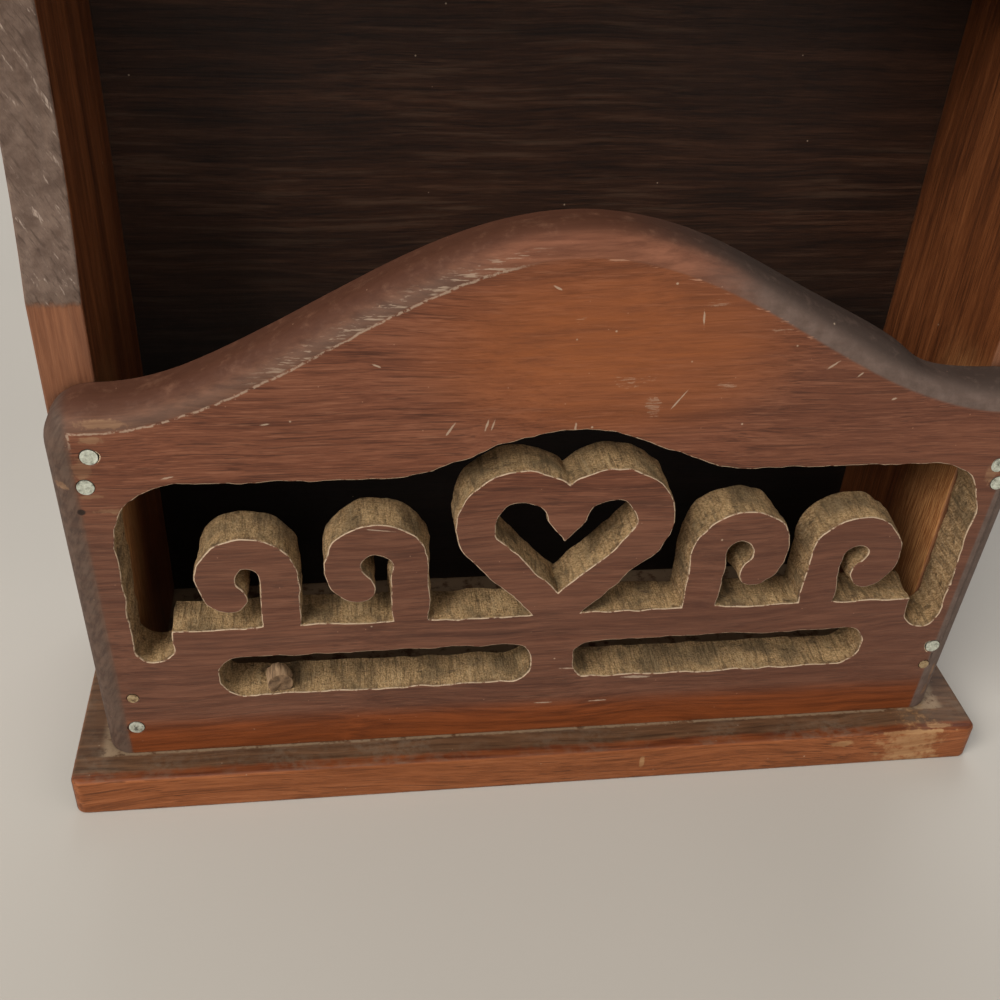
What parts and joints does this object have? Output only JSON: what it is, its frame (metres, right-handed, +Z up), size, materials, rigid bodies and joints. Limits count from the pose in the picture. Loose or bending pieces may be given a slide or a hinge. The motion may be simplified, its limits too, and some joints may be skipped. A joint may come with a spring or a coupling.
{
  "type": "napkin holder with drawer",
  "caption": "Wooden napkin holder: fretwork front with a bell-shaped top on an open pocket, a small drawer above, on a wide base board.",
  "frame": {"origin": "middle of the base board's underside", "axes": "+X right, +Y to the back, +Z up; the fretwork panel and the drawer front face -Y"},
  "size_m": [0.2124, 0.0754, 0.289],
  "materials": {
    "front_wood": "red-brown stain under worn semi-gloss varnish, horizontal grain, raw sawn walls in the fretwork",
    "side_wood": "orange-brown stain, upright grain, thin varnish",
    "back_wood": "very dark stain, horizontal grain, dull",
    "base_wood": "dark brown stain, dusty, worn pale at the corners",
    "drawer_wood": "unstained softwood, sanded",
    "knob_wood": "turned wood, red-brown stain, varnished",
    "nail_steel": "dull grey wire-nail heads",
    "brad_brass": "dull brassy heads"
  },
  "bodies": {
    "case": {"base_board": "base_wood", "front_panel": "front_wood", "left_side": "side_wood", "right_side": "side_wood", "back_panel": "back_wood", "shelf": "side_wood", "top_board": "base_wood", "front_panel_nails": "nail_steel", "front_panel_brads": "brad_brass", "base_board_nails": "nail_steel", "back_panel_nails": "nail_steel", "shelf_end_nails": "nail_steel", "top_board_nails": "nail_steel"},
    "drawer": {"drawer_front": "front_wood", "drawer_left_side": "drawer_wood", "drawer_right_side": "drawer_wood", "drawer_back": "drawer_wood", "drawer_bottom": "drawer_wood", "drawer_corner_brads": "brad_brass", "drawer_bottom_tacks": "nail_steel", "drawer_knob": "knob_wood", "knob_screw": "brad_brass"}
  },
  "joints": [
    {"name": "drawer_slide", "type": "slide", "parent": "case", "child": "drawer", "axis": [0, -1, 0], "range_m": [0, 0.034]}
  ]
}
